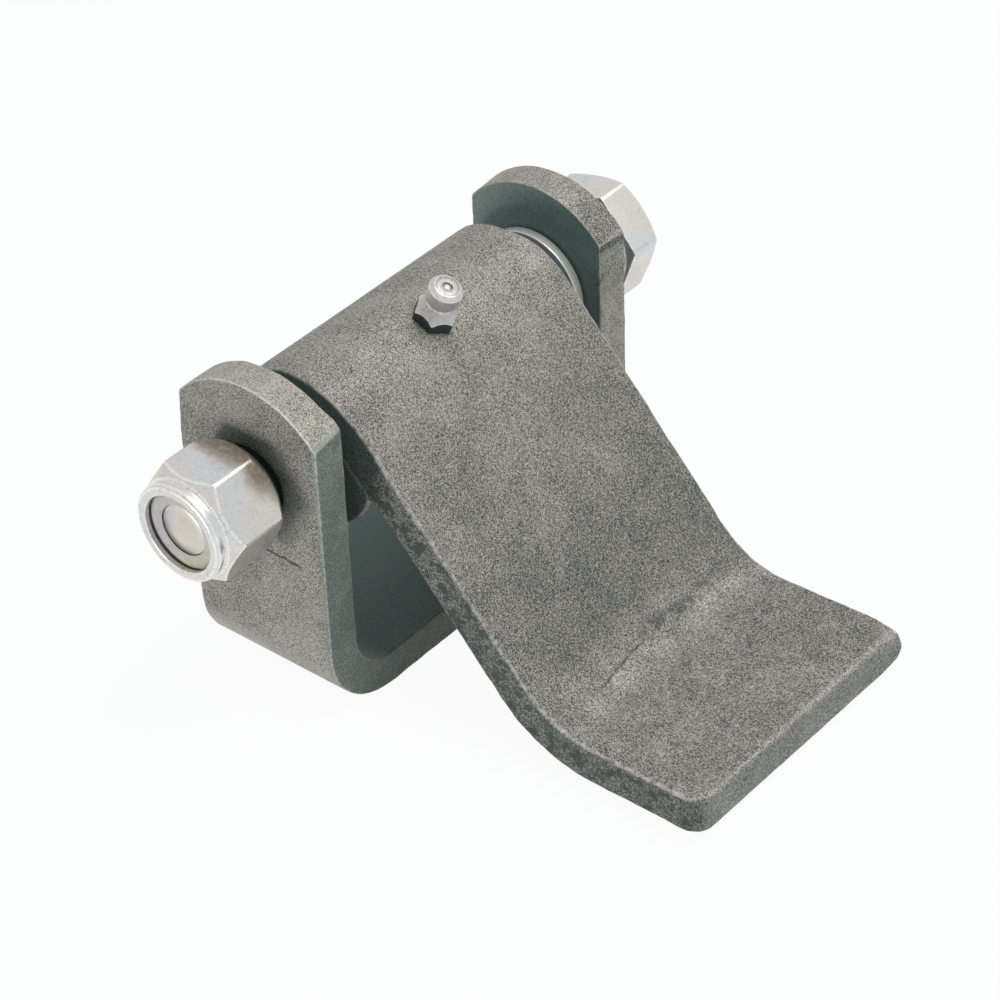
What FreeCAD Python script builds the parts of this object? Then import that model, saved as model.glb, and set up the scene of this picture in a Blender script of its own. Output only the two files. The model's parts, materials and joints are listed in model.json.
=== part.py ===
import FreeCAD, Part
import math
import os
from FreeCAD import Vector

# Weld-on strap hinge with a grease fitting, in millimetres.
# The origin is the middle of the bracket's underside, +Z is up, the bolt lies along Y, the strap reaches to +X.

# Bracket, bent from one flat bar
bracket_plate = 7.0
bracket_width = 32.0
bracket_bend_radius = 9.0
pivot_height = 49.0
ear_shoulder_rise = 13.0
ear_crown_rise = 20.6
ear_corner_radius = 1.0
bracket_edge_radius = 0.5

# Strap, one plate with a rolled eye, a sloping run and a flat pad
strap_plate = 8.0
strap_width = 60.0
strap_slope = 48.5
strap_run = 66.0
strap_bend_radius = 20.0
pad_length = 33.0
pad_corner_radius = 3.6
pad_far_corner_radius = 1.8
strap_edge_radius = 1.0
eye_bore = 16.0
eye_seam_gap = 0.3
eye_tip_land = 5.0

# Bolt, whose hexagon head stands off the far ear
bolt_diameter = 14.0
bolt_nut_reach = 14.5
bolt_tip_chamfer = 2.0
head_across_flats = 22.2
head_height = 8.7
head_stand_off = 7.6
washer_face_height = 0.4
head_turn = -10.5

# Nylon-insert lock nut
nut_across_flats = 21.0
nut_height = 16.0
nut_hex_height = 13.8
nut_stand_off = 2.9
nut_turn = 1.0
nut_crown_radius = 9.5
nut_crown_round = 0.6
nut_crown_wall = 1.8
nut_crown_lip = 0.6
nut_rim_depth = 0.8
insert_height = 3.6
insert_grip = 2.4

# Hexagon corners are cut by cones of this angle to the end face, which start at this share of the half width
head_chamfer_angle = 30.0
head_chamfer_start = 0.96
nut_chamfer_angle = 45.0
nut_chamfer_start = 0.94
washer_face_start = 0.93

# Thrust washers, hanging on the bolt by the slack in their holes
washer_hole_slack = 1.6
washer_ring_width = 4.2
washer_thickness = 2.0
washer_ear_gap = 0.5
washer_rim_chamfer = 0.25

# Sleeve in the eye, which stands out past both sides of the strap to take the thrust of the washers
bushing_reach = 4.0
bushing_end_gap = 0.5

# Grease fitting, screwed into the eye square to its surface
fitting_angle = 65.0
fitting_offset = -0.8
fitting_thread_diameter = 6.0
fitting_thread_length = 6.0
fitting_thread_chamfer = 0.4
fitting_across_flats = 7.4
fitting_turn = 0.0
fitting_hex_height = 1.45
fitting_shoulder_slope = 1.5
fitting_neck_radius = 2.4
fitting_head_radius = 3.25
fitting_head_depth = 2.9
fitting_head_band = 1.75
fitting_head_edge = 0.25
fitting_rim_drop = 0.3
fitting_rim_radius = 2.3
fitting_top_radius = 1.6
fitting_height = 8.9
fitting_bore_radius = 1.35
fitting_feed_radius = 0.75
fitting_floor = 1.2

# Check ball and its spring
ball_radius = 1.2
ball_mouth_radius = 1.0
ball_mouth_depth = 0.5
spring_wire = 0.26
spring_coils = 6.5
spring_side_gap = 0.2

# Clearances
ear_hole_clearance = 0.25
running_clearance = 0.06
press_clearance = 0.02
thread_clearance = 0.03
contact_clearance = 0.05

# Places that follow from the sizes above
pivot = Vector(0, 0, pivot_height)
along_bolt = Vector(0, 1, 0)
bolt_radius = bolt_diameter / 2
eye_radius = eye_bore / 2
eye_outer_radius = eye_radius + strap_plate
bushing_half_length = strap_width / 2 + bushing_reach
washer_inner_face = bushing_half_length + bushing_end_gap
washer_outer_face = washer_inner_face + washer_thickness
washer_hole_radius = bolt_radius + washer_hole_slack / 2
washer_radius = washer_hole_radius + washer_ring_width
ear_inner = washer_outer_face + washer_ear_gap
ear_outer = ear_inner + bracket_plate
head_seat = ear_outer + head_stand_off
nut_seat = -(ear_outer + nut_stand_off)
bolt_end = nut_seat - bolt_nut_reach
bolt_length = head_seat - bolt_end


def polygon_face(points):
    return Part.Face(Part.makePolygon(points + [points[0]]))


def arc(centre, radius, start, end, plane):
    """Arc about centre between two angles in degrees; plane turns two coordinates into a point in space."""
    spots = []
    for share in (0.0, 0.5, 1.0):
        turn = math.radians(start + share * (end - start))
        spots.append(plane(centre[0] + radius * math.cos(turn), centre[1] + radius * math.sin(turn)))
    return Part.Arc(*spots).toShape()


def side_plane(x, z):
    """A point of the side view, x along the strap and z above the bolt's axis."""
    return Vector(x, 0, pivot_height + z)


def turned(outline, direction, centre):
    """Solid of revolution from (radius, distance) points about an axis through centre."""
    axis = FreeCAD.Rotation(Vector(0, 0, 1), direction)
    place = FreeCAD.Placement(centre, axis)
    face = polygon_face([Vector(radius, 0, distance) for radius, distance in outline])
    return face.revolve(Vector(0, 0, 0), Vector(0, 0, 1), 360).transformed(place.toMatrix())


def hexagon(across_flats, height, direction, centre, turn):
    """Hexagonal prism on an axis, its first corner turned from the axis frame's X."""
    reach = across_flats / math.sqrt(3)
    corners = []
    for side in range(6):
        angle = math.radians(turn + 60 * side)
        corners.append(Vector(reach * math.cos(angle), reach * math.sin(angle), 0))
    prism = polygon_face(corners).extrude(Vector(0, 0, height))
    place = FreeCAD.Placement(centre, FreeCAD.Rotation(Vector(0, 0, 1), direction))
    return prism.transformed(place.toMatrix())


def chamfer_cone(across_flats, height, ends, start, angle):
    """Outline of the cone that cuts a hexagon's corners at the named ends: 0 is the seat and 1 the top."""
    face_radius = across_flats / 2 * start
    corner = across_flats / math.sqrt(3)
    drop = (corner - face_radius) * math.tan(math.radians(angle))
    low = [(face_radius, 0), (corner, drop)] if 0 in ends else [(corner, 0)]
    high = [(corner, height - drop), (face_radius, height)] if 1 in ends else [(corner, height)]
    return [(0, 0)] + low + high + [(0, height)]


def is_circle(edge, radius):
    return edge.Curve.TypeId == "Part::GeomCircle" and abs(edge.Curve.Radius - radius) < 1e-6


def make_bracket():
    """U of constant plate thickness, cut to the ears' outline and drilled for the bolt."""
    outer_bend = bracket_bend_radius + bracket_plate
    top = pivot_height + ear_crown_rise + 1
    profile = []
    for reach, floor, bend in ((ear_outer, 0, outer_bend), (ear_inner, bracket_plate, bracket_bend_radius)):
        half = Part.makeBox(bracket_width, 2 * reach, top - floor, Vector(-bracket_width / 2, -reach, floor))
        low_edges = [edge for edge in half.Edges
                     if abs(edge.CenterOfMass.z - floor) < 1e-6 and abs(edge.CenterOfMass.y) > 1]
        profile.append(half.makeFillet(bend, low_edges))
    channel = profile[0].cut(profile[1])
    half_width = bracket_width / 2
    rise = ear_crown_rise - ear_shoulder_rise
    crown_radius = (half_width ** 2 + rise ** 2) / (2 * rise)
    shoulder = pivot_height + ear_shoulder_rise
    low_left = Vector(-half_width, -ear_outer, 0)
    left = Vector(-half_width, -ear_outer, shoulder)
    crown = Vector(0, -ear_outer, pivot_height + ear_crown_rise)
    right = Vector(half_width, -ear_outer, shoulder)
    low_right = Vector(half_width, -ear_outer, 0)
    outline = Part.Wire([Part.makeLine(low_left, left), Part.Arc(left, crown, right).toShape(),
                         Part.makeLine(right, low_right), Part.makeLine(low_right, low_left)])
    blank = Part.Face(outline).extrude(Vector(0, 2 * ear_outer, 0))
    shoulders = [edge for edge in blank.Edges
                 if abs(edge.CenterOfMass.y) < 1e-6 and abs(edge.CenterOfMass.z - shoulder) < 1e-6]
    blank = blank.makeFillet(ear_corner_radius, shoulders)
    body = channel.common(blank)
    rims = [edge for edge in body.Edges if is_side_rim(edge, half_width)]
    body = body.makeFillet(bracket_edge_radius, rims)
    hole = Part.makeCylinder(bolt_radius + ear_hole_clearance, 2 * ear_outer + 2,
                             pivot - along_bolt * (ear_outer + 1), along_bolt)
    return body.cut(hole)


def is_side_rim(edge, half_width):
    """True for the bracket's long edges: round its two side faces and over the ears' tops."""
    middle = edge.CenterOfMass
    box = edge.BoundBox
    flat_in_x = box.XLength < 1e-6 and abs(abs(middle.x) - half_width) < 1e-6
    on_ear_face = box.YLength < 1e-6 and middle.z > pivot_height
    return flat_in_x or on_ear_face


def strap_profile():
    """Side view of the strap: the rolled eye with its seam, the sloping run, the bend and the pad."""
    slope = math.radians(strap_slope)
    along = (math.cos(slope), -math.sin(slope))
    square = (math.sin(slope), math.cos(slope))
    crown_angle = 90 - strap_slope

    def spot(run, lift):
        return (run * along[0] + lift * square[0], run * along[1] + lift * square[1])

    seam = eye_radius - eye_seam_gap
    tip_out = math.sqrt(eye_outer_radius ** 2 - seam ** 2)
    tip_in = math.sqrt(eye_radius ** 2 - eye_tip_land ** 2)
    tip_angle = crown_angle - math.degrees(math.atan2(tip_out, seam)) + 360
    land_angle = crown_angle - math.degrees(math.atan2(eye_tip_land, tip_in)) + 360
    tangent = strap_bend_radius * math.tan(slope / 2)
    bend_start = strap_run - tangent
    bend_centre = spot(bend_start, eye_outer_radius + strap_bend_radius)
    under_radius = strap_bend_radius + strap_plate
    apex = spot(strap_run, eye_outer_radius)
    pad_top = apex[1]
    pad_low = pad_top - strap_plate
    pad_end = apex[0] + pad_length
    bend_angle = 270 - strap_slope

    def line(start, end):
        return Part.makeLine(side_plane(*start), side_plane(*end))

    edges = [
        arc((0, 0), eye_outer_radius, crown_angle, tip_angle, side_plane),
        line(spot(tip_out, seam), spot(eye_tip_land, seam)),
        line(spot(eye_tip_land, seam), spot(eye_tip_land, tip_in)),
        arc((0, 0), eye_radius, land_angle, crown_angle, side_plane),
        line(spot(0, eye_radius), spot(bend_start, eye_radius)),
        arc(bend_centre, under_radius, bend_angle, 270, side_plane),
        line((bend_centre[0], pad_low), (pad_end, pad_low)),
        line((pad_end, pad_low), (pad_end, pad_top)),
        line((pad_end, pad_top), (bend_centre[0], pad_top)),
        arc(bend_centre, strap_bend_radius, 270, bend_angle, side_plane),
        line(spot(bend_start, eye_outer_radius), spot(0, eye_outer_radius)),
    ]
    return Part.Face(Part.Wire(edges)), pad_end


def make_strap():
    """The profile drawn across the plate's width, with rounded corners and edges and the fitting's hole."""
    face, pad_end = strap_profile()
    half_width = strap_width / 2
    body = face.extrude(Vector(0, strap_width, 0))
    body.translate(Vector(0, -half_width, 0))
    for side, radius in ((-1, pad_corner_radius), (1, pad_far_corner_radius)):
        corners = [edge for edge in body.Edges
                   if edge.BoundBox.ZLength > strap_plate - 1e-6 and edge.BoundBox.XLength < 1e-6
                   and abs(edge.CenterOfMass.x - pad_end) < 1e-6
                   and abs(edge.CenterOfMass.y - side * half_width) < 1e-6]
        body = body.makeFillet(radius, corners)
    rims = [edge for edge in body.Edges if is_strap_rim(edge, pad_end)]
    body = body.makeFillet(strap_edge_radius, rims)
    direction = fitting_direction()
    hole = Part.makeCylinder(fitting_thread_diameter / 2 + thread_clearance, eye_outer_radius + 1,
                             fitting_foot(), direction)
    return body.cut(hole)


def is_strap_rim(edge, pad_end):
    """True for the edges of the strap's outer surface: round the eye, along both sides and across the end."""
    middle = edge.CenterOfMass
    box = edge.BoundBox
    half_width = strap_width / 2
    on_side = box.YLength < 1e-6 and abs(abs(middle.y) - half_width) < 1e-6
    height = middle.z - pivot_height
    radius = math.hypot(middle.x, height)
    round_eye = on_side and is_circle(edge, eye_outer_radius)
    past_seam = middle.x > eye_outer_radius
    flat_end = box.ZLength < 1e-6 and middle.x > pad_end - pad_corner_radius - 1
    return round_eye or (on_side and past_seam and radius > eye_outer_radius) or flat_end


def fitting_direction():
    turn = math.radians(fitting_angle)
    return Vector(math.cos(turn), 0, math.sin(turn))


def fitting_foot():
    return pivot + along_bolt * fitting_offset


def make_bushing():
    outer = eye_radius - press_clearance
    inner = bolt_radius + running_clearance
    start = pivot - along_bolt * bushing_half_length
    sleeve = Part.makeCylinder(outer, 2 * bushing_half_length, start, along_bolt)
    bore = Part.makeCylinder(inner, 2 * bushing_half_length, start, along_bolt)
    feed = Part.makeCylinder(fitting_bore_radius, eye_radius + 1, fitting_foot(), fitting_direction())
    return sleeve.cut(bore).cut(feed)


def make_bolt():
    face_radius = head_across_flats / 2 * washer_face_start
    shank = [(0, 0), (bolt_radius - bolt_tip_chamfer, 0), (bolt_radius, bolt_tip_chamfer),
             (bolt_radius, bolt_length), (face_radius, bolt_length),
             (face_radius, bolt_length + washer_face_height), (0, bolt_length + washer_face_height)]
    body = turned(shank, along_bolt, pivot + along_bolt * bolt_end)
    hex_height = head_height - washer_face_height
    seat = pivot + along_bolt * (head_seat + washer_face_height)
    head = hexagon(head_across_flats, hex_height, along_bolt, seat, head_turn)
    outline = chamfer_cone(head_across_flats, hex_height, (1,), head_chamfer_start, head_chamfer_angle)
    cone = turned(outline, along_bolt, seat)
    return body.fuse(head.common(cone)).removeSplitter()


def make_lock_nut():
    """Hexagon with both ends chamfered, a round crown rolled in over the insert, and the bolt's bore."""
    outward = -along_bolt
    seat = pivot + along_bolt * nut_seat
    prism = hexagon(nut_across_flats, nut_hex_height, outward, seat, nut_turn)
    outline = chamfer_cone(nut_across_flats, nut_hex_height, (0, 1), nut_chamfer_start, nut_chamfer_angle)
    cone = turned(outline, outward, seat)
    crown = [(0, nut_hex_height / 2), (nut_crown_radius, nut_hex_height / 2)]
    for share in range(5):
        turn = math.radians(90 * share / 4)
        crown.append((nut_crown_radius - nut_crown_round * (1 - math.cos(turn)),
                      nut_height - nut_crown_round * (1 - math.sin(turn))))
    crown.append((0, nut_height))
    body = prism.common(cone).fuse(turned(crown, outward, seat))
    mouth = nut_crown_radius - nut_crown_wall
    pocket = mouth + nut_crown_lip
    floor, ledge = insert_ends()
    recess = [(0, floor), (pocket, floor), (pocket, ledge), (mouth, ledge), (mouth, nut_height + 1),
              (0, nut_height + 1)]
    bore = Part.makeCylinder(bolt_radius + thread_clearance, nut_height, seat, outward)
    return body.cut(turned(recess, outward, seat)).cut(bore).removeSplitter()


def insert_ends():
    """Heights of the nut's pocket for the insert, above the nut's seat."""
    ledge = nut_height - nut_rim_depth
    return ledge - insert_height, ledge


def make_insert():
    """Nylon ring: opened to the bolt's size where the bolt has passed, still tight beyond the bolt's end."""
    outer = nut_crown_radius - nut_crown_wall + nut_crown_lip - press_clearance
    floor, ledge = insert_ends()
    low = floor + press_clearance
    high = ledge - press_clearance
    reached = nut_seat - bolt_end + contact_clearance
    wide = bolt_radius + thread_clearance
    tight = bolt_radius - insert_grip
    ring = [(wide, low), (outer, low), (outer, high), (tight, high), (tight, reached), (wide, reached)]
    return turned(ring, -along_bolt, pivot + along_bolt * nut_seat)


def make_washer(side):
    """Washer between the bushing and one ear, resting on the bolt by the top of its hole."""
    drop = washer_hole_radius - bolt_radius - contact_clearance
    start = washer_inner_face if side > 0 else -washer_outer_face
    centre = pivot + along_bolt * start - Vector(0, 0, drop)
    disc = Part.makeCylinder(washer_radius, washer_thickness, centre, along_bolt)
    hole = Part.makeCylinder(washer_hole_radius, washer_thickness, centre, along_bolt)
    disc = disc.cut(hole)
    rims = [edge for edge in disc.Edges if is_circle(edge, washer_radius)]
    return disc.makeChamfer(washer_rim_chamfer, rims)


def make_fitting():
    """Hexagon with conical shoulders, neck and button head, bored through for the ball, spring and grease."""
    direction = fitting_direction()
    foot = fitting_foot()
    low, top = fitting_ends()
    thread = fitting_thread_diameter / 2
    corner = fitting_across_flats / math.sqrt(3)
    shoulder = eye_outer_radius + fitting_hex_height
    neck = shoulder + (corner - fitting_neck_radius) * fitting_shoulder_slope
    head_low = top - fitting_head_depth
    head_rim = head_low + fitting_head_band
    edge = fitting_head_edge
    screw = [(0, low), (thread - fitting_thread_chamfer, low), (thread, low + fitting_thread_chamfer),
             (thread, shoulder), (0, shoulder)]
    button = [(0, low), (corner, low), (corner, shoulder), (fitting_neck_radius, neck),
              (fitting_neck_radius, head_low - 2 * edge), (fitting_head_radius - edge, head_low),
              (fitting_head_radius, head_low + edge), (fitting_head_radius, head_rim),
              (fitting_head_radius - edge, head_rim + 2 * edge), (fitting_rim_radius, top - fitting_rim_drop),
              (fitting_top_radius, top), (0, top)]
    prism = hexagon(fitting_across_flats, neck - low, direction, foot + direction * low, fitting_turn)
    upper = Part.makeCylinder(2 * corner, top, foot + direction * neck, direction)
    eye = Part.makeCylinder(eye_outer_radius + contact_clearance, strap_width,
                            pivot - along_bolt * strap_width / 2, along_bolt)
    body = turned(button, direction, foot).common(prism.fuse(upper)).cut(eye)
    body = body.fuse(turned(screw, direction, foot))
    floor = low + fitting_floor
    mouth = top - ball_mouth_depth
    seat_cone = fitting_bore_radius - ball_mouth_radius
    passage = [(0, low - 1), (fitting_feed_radius, low - 1), (fitting_feed_radius, floor),
               (fitting_bore_radius, floor), (fitting_bore_radius, mouth - seat_cone),
               (ball_mouth_radius, mouth), (ball_mouth_radius, top + 1), (0, top + 1)]
    return body.cut(turned(passage, direction, foot)).removeSplitter()


def fitting_ends():
    """Distances of the fitting's lower and upper ends from the bolt's axis."""
    return eye_outer_radius - fitting_thread_length, eye_outer_radius + fitting_height


def ball_centre():
    """Distance of the closed ball's centre from the bolt's axis: it nearly touches the mouth's sharp edge."""
    seat = math.sqrt(ball_radius ** 2 - ball_mouth_radius ** 2)
    return fitting_ends()[1] - ball_mouth_depth - seat - contact_clearance


def make_ball():
    ball = Part.makeSphere(ball_radius)
    ball.translate(fitting_foot() + fitting_direction() * ball_centre())
    return ball


def make_spring():
    """Coil spring from the floor of the fitting's bore up to the ball."""
    direction = fitting_direction()
    wire = spring_wire / 2
    low = fitting_ends()[0] + fitting_floor + wire + contact_clearance
    coil_radius = fitting_bore_radius - wire - spring_side_gap
    high = ball_centre() - math.sqrt((ball_radius + wire + contact_clearance) ** 2 - coil_radius ** 2)
    helix = Part.makeHelix((high - low) / spring_coils, high - low, coil_radius)
    section = Part.Wire(Part.makeCircle(wire, Vector(coil_radius, 0, 0), along_bolt))
    coil = Part.Wire(helix.Edges).makePipeShell([section], True, True)
    place = FreeCAD.Placement(fitting_foot() + direction * low, FreeCAD.Rotation(Vector(0, 0, 1), direction))
    return coil.transformed(place.toMatrix())


def main():
    os.makedirs("parts", exist_ok=True)
    pieces = {
        "bracket": make_bracket(),
        "strap": make_strap(),
        "eye_bushing": make_bushing(),
        "hinge_bolt": make_bolt(),
        "lock_nut": make_lock_nut(),
        "lock_nut_insert": make_insert(),
        "near_washer": make_washer(-1),
        "far_washer": make_washer(1),
        "grease_fitting": make_fitting(),
        "fitting_ball": make_ball(),
        "fitting_spring": make_spring(),
    }
    for node, shape in pieces.items():
        solid = shape.Solids[0]
        print(node, "solids", len(shape.Solids), "valid", shape.isValid(), "volume", round(shape.Volume, 1))
        solid.exportStep("parts/" + node + ".step")


main()
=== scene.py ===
import json
import math

import bmesh
import bpy
import numpy as np
from bpy.props import FloatProperty, FloatVectorProperty, PointerProperty
from mathutils import Matrix, Vector


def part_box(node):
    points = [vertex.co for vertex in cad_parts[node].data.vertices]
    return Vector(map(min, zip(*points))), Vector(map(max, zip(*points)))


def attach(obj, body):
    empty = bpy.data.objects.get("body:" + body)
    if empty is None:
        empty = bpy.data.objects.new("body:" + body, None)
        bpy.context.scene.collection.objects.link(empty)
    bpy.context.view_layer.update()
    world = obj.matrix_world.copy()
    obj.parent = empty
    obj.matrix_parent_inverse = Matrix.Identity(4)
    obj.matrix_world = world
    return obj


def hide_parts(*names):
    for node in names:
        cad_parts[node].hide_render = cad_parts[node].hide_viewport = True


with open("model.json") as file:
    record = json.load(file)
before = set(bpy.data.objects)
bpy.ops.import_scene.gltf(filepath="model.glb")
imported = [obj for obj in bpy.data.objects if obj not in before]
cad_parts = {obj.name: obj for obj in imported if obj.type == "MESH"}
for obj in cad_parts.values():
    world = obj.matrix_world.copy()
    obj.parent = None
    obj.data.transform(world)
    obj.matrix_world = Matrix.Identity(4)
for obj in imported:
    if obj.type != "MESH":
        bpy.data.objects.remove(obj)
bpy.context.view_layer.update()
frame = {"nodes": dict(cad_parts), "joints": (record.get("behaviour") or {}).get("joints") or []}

bl_info = {
    "name": "Greasable strap hinge",
    "version": (1, 0, 0),
    "blender": (4, 5, 0),
    "location": "View3D > Sidebar > Strap hinge",
    "description": "Dresses a weld-on strap hinge: bent plates, plated fasteners, grease fitting and stage",
    "category": "Object",
}


def joint(name):
    return next(row for row in frame["joints"] if row["name"] == name)


MM = 0.001
PIVOT = np.array(joint("strap_hinge")["pos_m"])
ALONG_BOLT = (0.0, 1.0, 0.0)
NUT_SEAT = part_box("lock_nut")[1][1]
BOLT_TIP, HEAD_TOP = (end[1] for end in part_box("hinge_bolt"))
PAD_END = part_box("strap")[1][0]
EDGE_STEPS = 6
HOLE_CHAMFER = 0.35 * MM
ROLL_ANGLE = math.radians(310.0)


def number(name, text, value, unit="NONE"):
    return FloatProperty(name=name, description=text, default=value, unit=unit)


def length(name, text, value):
    return number(name, text, value, "LENGTH")


def angle(name, text, degrees):
    return number(name, text, math.radians(degrees), "ROTATION")


def colour(name, text, value):
    return FloatVectorProperty(name=name, description=text, default=value, subtype="COLOR", size=3)


# Sizes and colours that a user would change

class HingePlates(bpy.types.PropertyGroup):
    strap_width: length("Strap width", "Width of the strap's plate", 0.0602)
    strap_thickness: length("Strap thickness", "Thickness of the strap's plate", 0.008)
    strap_slope: angle("Strap slope", "Angle of the strap's run below level", 48.5)
    strap_run: length("Strap run", "Length from the eye's crown to the bend's corner", 0.066)
    bend_radius: length("Bend radius", "Radius of the bend on the strap's top", 0.020)
    pad_corner: length("Pad corner radius", "Radius of the pad's near corner, seen from above", 0.0038)
    pad_far_corner: length("Pad far corner radius", "Radius of the pad's far corner, seen from above", 0.0018)
    strap_edge: length("Strap edge radius", "Radius of the strap's worn edges", 0.0009)
    eye_bore: length("Eye bore", "Diameter of the rolled eye's bore", 0.016)
    bracket_thickness: length("Bracket thickness", "Thickness of the bracket's bar", 0.007)
    bracket_width: length("Bracket width", "Width of the bracket's bar", 0.0324)
    ear_gap: length("Ear gap", "Clear space between the bracket's ears", 0.074)
    bracket_bend: length("Bracket bend radius", "Inside radius of the bracket's bends", 0.009)
    ear_shoulder: length("Ear shoulder", "Height of the ear's shoulders above the bolt", 0.013)
    ear_crown: length("Ear crown", "Height of the ear's arched top above the bolt", 0.0206)
    ear_corner: length("Ear corner radius", "Radius that eases the ear's shoulders", 0.0010)
    bracket_edge: length("Bracket edge radius", "Radius of the bracket's worn edges", 0.0004)
    dents: length("Dent depth", "Depth of the dents along the sheared edges", 0.00005)


class HingeFasteners(bpy.types.PropertyGroup):
    bolt_diameter: length("Bolt diameter", "Outside diameter of the bolt's thread", 0.014)
    thread_pitch: length("Thread pitch", "Distance between two turns of the thread", 0.002)
    thread_length: length("Thread length", "Threaded length at the bolt's end", 0.036)
    head_flats: length("Head across flats", "Width of the bolt's head", 0.0222)
    head_height: length("Head height", "Height of the bolt's head", 0.0087)
    nut_flats: length("Nut across flats", "Width of the nut", 0.021)
    nut_hex: length("Nut hexagon height", "Height of the nut's hexagon below its crown", 0.0138)
    nut_height: length("Nut height", "Height of the nut with its crown", 0.0163)
    crown_radius: length("Crown radius", "Radius of the nut's crown", 0.0098)
    fitting_flats: length("Fitting across flats", "Width of the grease fitting's hexagon", 0.0074)
    fitting_head: length("Fitting head", "Diameter of the grease fitting's button head", 0.0065)
    fitting_height: length("Fitting height", "Height of the grease fitting above the eye", 0.0089)


class HingeColours(bpy.types.PropertyGroup):
    steel_pale: colour("Pale grain", "Bright grains of the bare steel", (0.51, 0.452, 0.405))
    steel_dark: colour("Dark grain", "Dark grains of the bare steel", (0.024, 0.036, 0.034))
    steel_edge: colour("Worn edge", "Steel rubbed bright along an edge", (0.60, 0.53, 0.50))
    zinc: colour("Zinc", "Plating of the bolt, nut, washers and fitting", (0.66, 0.645, 0.61))
    stain: colour("Stain", "Brown film on one flat of the nut", (0.23, 0.18, 0.13))
    nylon: colour("Nylon", "Locking ring in the nut", (0.56, 0.50, 0.505))
    floor: colour("Floor", "Colour of the floor", (0.68, 0.75, 0.75))


class HingeStage(bpy.types.PropertyGroup):
    lens: number("Lens", "Focal length of the camera in millimetres", 115.647)
    azimuth: angle("Azimuth", "Camera's direction round the hinge", 40.4199)
    elevation: angle("Elevation", "Camera's height above level", 37.3321)
    roll: angle("Roll", "Turn of the camera about its own view", -2.2449)
    offset: FloatVectorProperty(name="Offset", description="The pivot's place in the camera's own frame",
                                subtype="XYZ", unit="LENGTH", size=3,
                                default=(-0.0163194, 0.02467, -0.5958316))
    key: number("Key light", "Power of the large lamp overhead", 15.5, "POWER")
    fill: number("Fill light", "Power of the low lamp at the nut's end", 2.0, "POWER")
    sky: number("Sky", "Strength of the light from all round", 0.24)


# Shells

def shell(name, vertices, faces, masks=None, body=None, cut_angle=50):
    """Closed mesh from arrays of corners and faces. Doubles are merged, faces point outwards, edges sharper
    than cut_angle stay sharp, and each mask is stored as a float for every corner."""
    mesh = bpy.data.meshes.new(name)
    mesh.from_pydata(np.asarray(vertices, float).tolist(), [], np.asarray(faces).tolist())
    for title, values in (masks or {}).items():
        layer = mesh.attributes.new(title, "FLOAT", "POINT")
        layer.data.foreach_set("value", np.ascontiguousarray(values, np.float32).ravel())
    work = bmesh.new()
    work.from_mesh(mesh)
    bmesh.ops.remove_doubles(work, verts=work.verts, dist=2e-6)
    bmesh.ops.dissolve_degenerate(work, edges=work.edges, dist=1e-7)
    bmesh.ops.recalc_face_normals(work, faces=work.faces)
    work.to_mesh(mesh)
    work.free()
    mesh.shade_smooth()
    mesh.set_sharp_from_angle(angle=math.radians(cut_angle))
    piece = bpy.data.objects.new(name, mesh)
    bpy.context.scene.collection.objects.link(piece)
    if body:
        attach(piece, body)
    return piece


def grid_faces(rows, columns, closed):
    """Quads between neighbouring rows of a grid; closed joins each row's last column to its first."""
    i = np.arange(rows - 1)[:, None] * columns
    j = np.arange(columns if closed else columns - 1)[None, :]
    k = (j + 1) % columns
    return np.stack([i + j, i + k, i + columns + k, i + columns + j], -1).reshape(-1, 4)


def wave_noise(points, scale, seed):
    """Smooth noise near -1 to 1: sines along random directions, their wavelengths near the scale."""
    draw = np.random.default_rng(seed)
    total = np.zeros(points.shape[:-1])
    for _ in range(12):
        way = draw.normal(size=3)
        way *= draw.uniform(0.6, 1.6) / (np.linalg.norm(way) * scale)
        total += np.sin(points @ way * 2 * np.pi + draw.uniform(0, 2 * np.pi))
    return total / 3.5


def dent(piece, depth, scale, seed):
    """Moves each corner along its normal by smooth noise, most where the edge mask is high."""
    mesh = piece.data
    count = len(mesh.vertices)
    places, normals, worn = (np.empty(count * n, np.float32) for n in (3, 3, 1))
    mesh.vertices.foreach_get("co", places)
    mesh.vertex_normals.foreach_get("vector", normals)
    mesh.attributes["edge"].data.foreach_get("value", worn)
    places, normals = places.reshape(-1, 3).astype(float), normals.reshape(-1, 3)
    waves = wave_noise(places, scale, seed) + 0.5 * wave_noise(places, scale / 3, seed + 1)
    shift = depth * (0.25 + worn) * waves
    places += normals * shift[:, None]
    mesh.vertices.foreach_set("co", places.astype(np.float32).ravel())
    mesh.update()


def profile_of(points, sides):
    """Profile of shape (points, sides, 2). Each point is (radius, distance along the axis), in metres, and
    either may hold one value a side, which gives hexagons and the curves where a cone cuts them."""
    return np.array([[np.broadcast_to(v, sides) for v in point] for point in points], float).swapaxes(1, 2)


def ease(profile, radii):
    """Rounds each corner of a profile by its radius in millimetres: a quadratic curve joins points one radius
    before and after the corner, or at most half the way to its neighbours. Also gives each row's edge mask,
    for wear and painted highlights."""
    rows, edge = [profile[0]], [0]
    for before, here, after, radius in zip(profile, profile[1:], profile[2:], radii[1:]):
        if radius <= 0:
            rows.append(here)
            edge.append(0)
            continue
        ends = []
        for other in (before, after):
            way = other - here
            size = np.maximum(np.linalg.norm(way, axis=-1, keepdims=True), 1e-9)
            ends.append(here + way / size * np.minimum(radius * MM, 0.45 * size))
        for u in np.linspace(0, 1, EDGE_STEPS):
            rows.append((1 - u) ** 2 * ends[0] + 2 * u * (1 - u) * here + u ** 2 * ends[1])
            edge.append(math.sin(math.pi * (0.15 + 0.7 * u)))
    return np.stack(rows + [profile[-1]]), np.array(edge + [0])


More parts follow.
